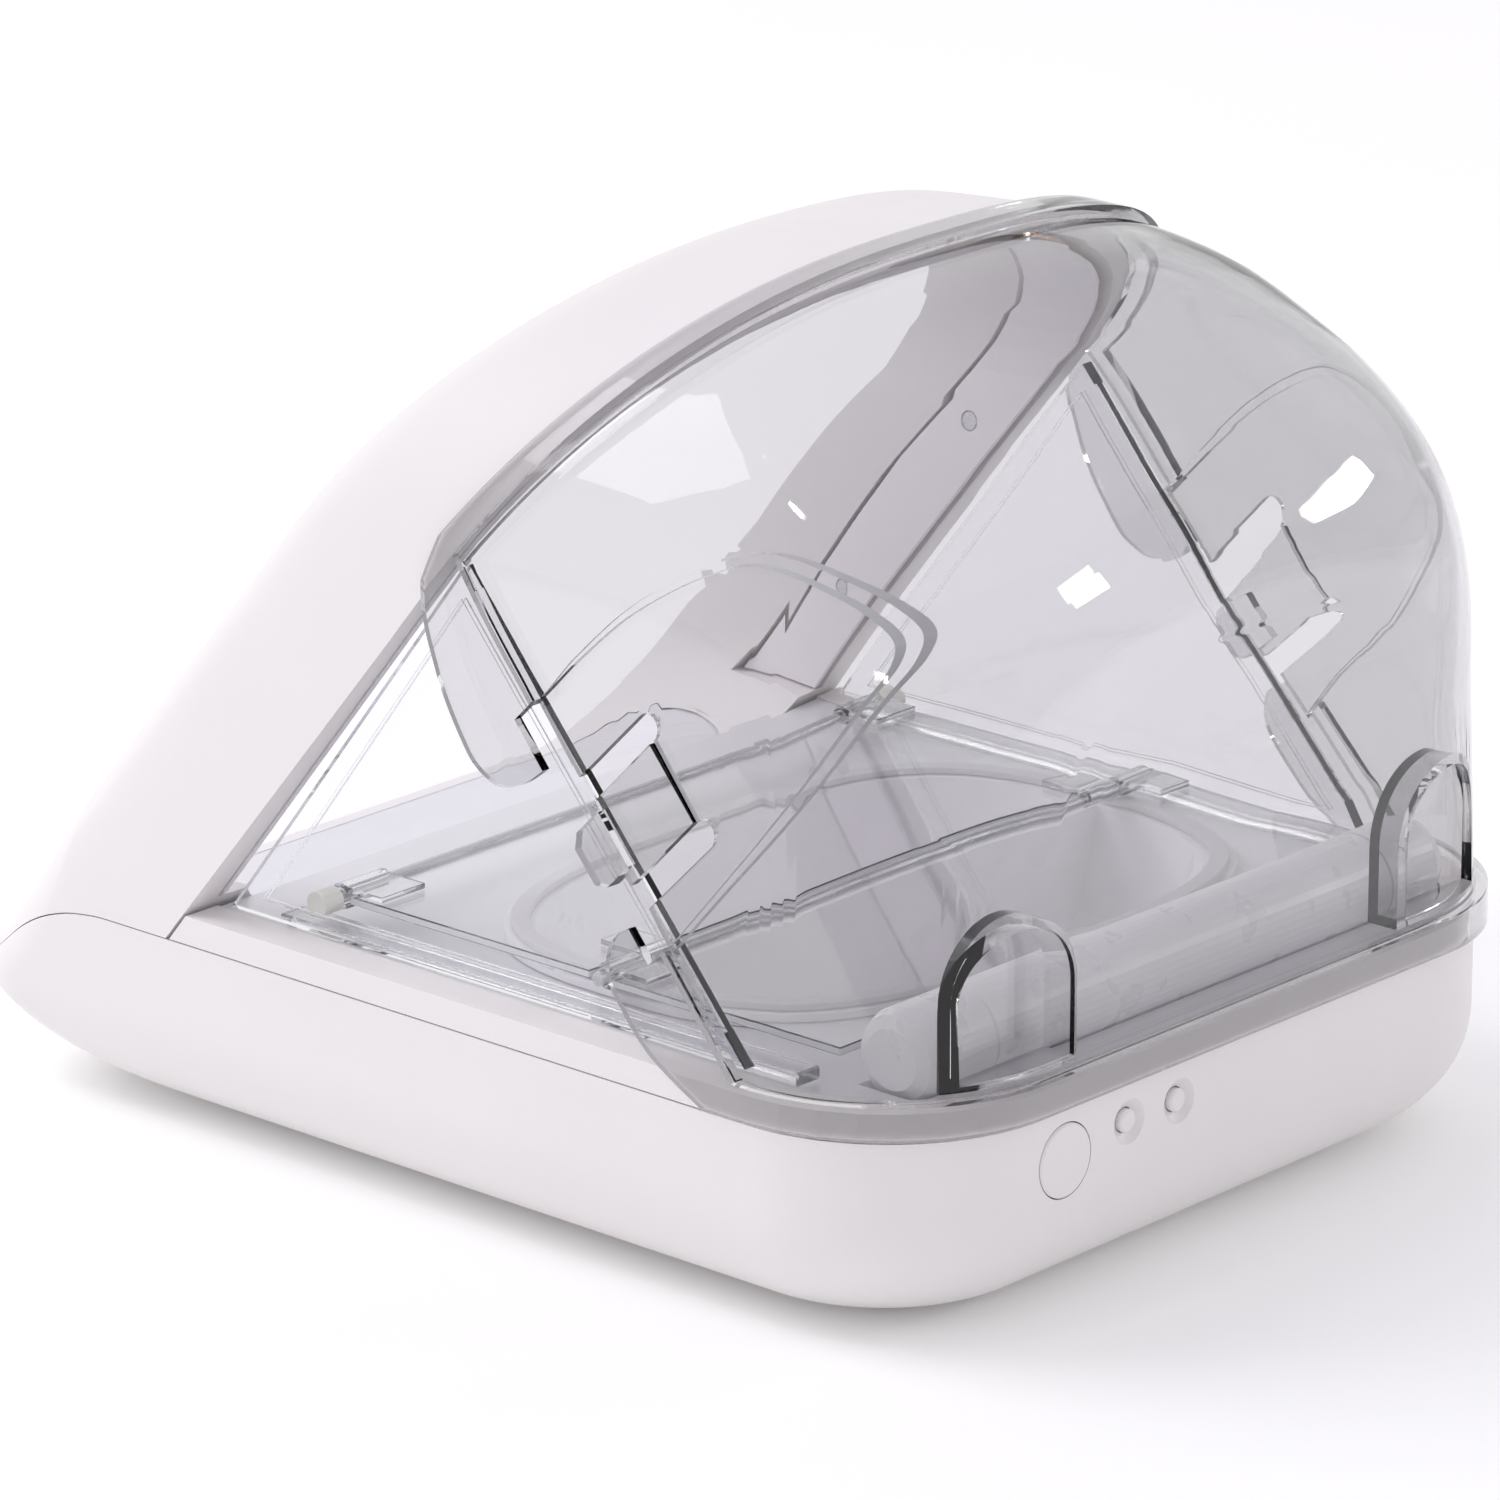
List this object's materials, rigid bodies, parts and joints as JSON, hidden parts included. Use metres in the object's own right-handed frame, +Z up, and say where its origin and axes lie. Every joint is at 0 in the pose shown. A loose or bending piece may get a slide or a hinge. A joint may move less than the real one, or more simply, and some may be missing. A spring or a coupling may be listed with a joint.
{
  "type": "automatic pet feeder",
  "caption": "Tabletop pet feeder with a white base and entrance arch, clear side windows, a clear rear hood, a two-part bowl and a motor-driven folding lid.",
  "frame": {"origin": "centre of the footprint at floor level, under the feet", "axes": "-Y is the front where the pet puts its head in, +Y the rear with the buttons, +Z up"},
  "size_m": [0.235, 0.3026, 0.2218],
  "materials": {
    "white_plastic": "satin moulded",
    "grey_plastic": "satin moulded",
    "silver_plastic": "silver satin",
    "clear_plastic": "clear moulded polycarbonate",
    "rubber": "matt",
    "steel": "brushed",
    "copper": "enamelled winding",
    "board": "solder mask",
    "cell": "wrapped cell",
    "nylon": "unfilled nylon"
  },
  "bodies": {
    "base": {"base_tray": "white_plastic", "foot_front_left": "rubber", "foot_front_right": "rubber", "foot_rear_left": "rubber", "foot_rear_right": "rubber", "circuit_board": "board", "battery_box_left": "white_plastic", "battery_box_right": "white_plastic", "contact_plate_left": "steel", "contact_plate_right": "steel", "battery_left_1": "cell", "battery_left_2": "cell", "battery_right_1": "cell", "battery_right_2": "cell", "arch_shell": "white_plastic", "entry_ramp": "grey_plastic", "arch_liner": "white_plastic", "antenna_coil": "copper", "liner_screw_left_low": "steel", "liner_screw_left_high": "steel", "liner_screw_right_low": "steel", "liner_screw_right_high": "steel", "deck_surround": "white_plastic", "deck_plate": "silver_plastic", "slide_rail_left": "clear_plastic", "slide_rail_right": "clear_plastic", "side_window_left": "clear_plastic", "side_window_right": "clear_plastic", "bowl": "grey_plastic", "bowl_seal": "rubber", "barrel_end_left": "silver_plastic", "barrel_end_right": "silver_plastic", "drive_motor": "steel", "barrel_pivot": "steel"},
    "lid_rear": {"hinge_barrel": "silver_plastic", "drive_hub": "nylon", "lid_rear_panel": "clear_plastic", "fold_pin": "steel", "fold_hinge_rear_left": "clear_plastic", "fold_hinge_rear_right": "clear_plastic"},
    "lid_front": {"lid_front_panel": "clear_plastic", "slide_pin": "steel", "fold_hinge_front_left": "clear_plastic", "fold_hinge_front_right": "clear_plastic", "slider_bracket_left": "clear_plastic", "slider_bracket_right": "clear_plastic", "slide_roller_left": "nylon", "slide_roller_right": "nylon"},
    "hood": {"hood": "clear_plastic"},
    "latch_left": {"hood_latch_left": "clear_plastic"},
    "latch_right": {"hood_latch_right": "clear_plastic"},
    "button_big": {"button_big": "white_plastic"},
    "button_small_1": {"button_small_1": "white_plastic"},
    "button_small_2": {"button_small_2": "white_plastic"},
    "door_left": {"battery_door_left": "white_plastic"},
    "door_right": {"battery_door_right": "white_plastic"}
  },
  "joints": [
    {"name": "lid_hinge", "type": "hinge", "parent": "base", "child": "lid_rear", "pos_m": [0, 0.124, 0.064], "axis": [-1, 0, 0], "range_deg": [0, 72]},
    {"name": "lid_fold", "type": "hinge", "parent": "lid_rear", "child": "lid_front", "pos_m": [0, 0.042, 0.064], "axis": [-1, 0, 0], "range_deg": [-144, 0]},
    {"name": "hood_slide", "type": "slide", "parent": "base", "child": "hood", "axis": [0, 1, 0], "range_m": [0, 0.16]},
    {"name": "latch_left_flex", "type": "hinge", "parent": "hood", "child": "latch_left", "pos_m": [0.11, 0.07729, 0.12144], "axis": [0, -0.6483, 0.7614], "range_deg": [0, 6], "stiffness_Nm_per_rad": 0.3},
    {"name": "latch_right_flex", "type": "hinge", "parent": "hood", "child": "latch_right", "pos_m": [-0.11, 0.07729, 0.12144], "axis": [0, 0.6483, -0.7614], "range_deg": [0, 6], "stiffness_Nm_per_rad": 0.3},
    {"name": "button_big_press", "type": "slide", "parent": "base", "child": "button_big", "axis": [0, -1, 0], "range_m": [0, 0.0012], "stiffness_N_per_m": 400},
    {"name": "button_small_1_press", "type": "slide", "parent": "base", "child": "button_small_1", "axis": [0, -1, 0], "range_m": [0, 0.0012], "stiffness_N_per_m": 200},
    {"name": "button_small_2_press", "type": "slide", "parent": "base", "child": "button_small_2", "axis": [0, -1, 0], "range_m": [0, 0.0012], "stiffness_N_per_m": 200},
    {"name": "door_left_hinge", "type": "hinge", "parent": "base", "child": "door_left", "pos_m": [0.034, -0.0386, 0.0034], "axis": [1, 0, 0], "range_deg": [0, 95]},
    {"name": "door_right_hinge", "type": "hinge", "parent": "base", "child": "door_right", "pos_m": [-0.034, -0.0386, 0.0034], "axis": [1, 0, 0], "range_deg": [0, 95]}
  ],
  "couplings": [
    {"joint": "lid_fold", "follows": "lid_hinge", "ratio": -2}
  ]
}
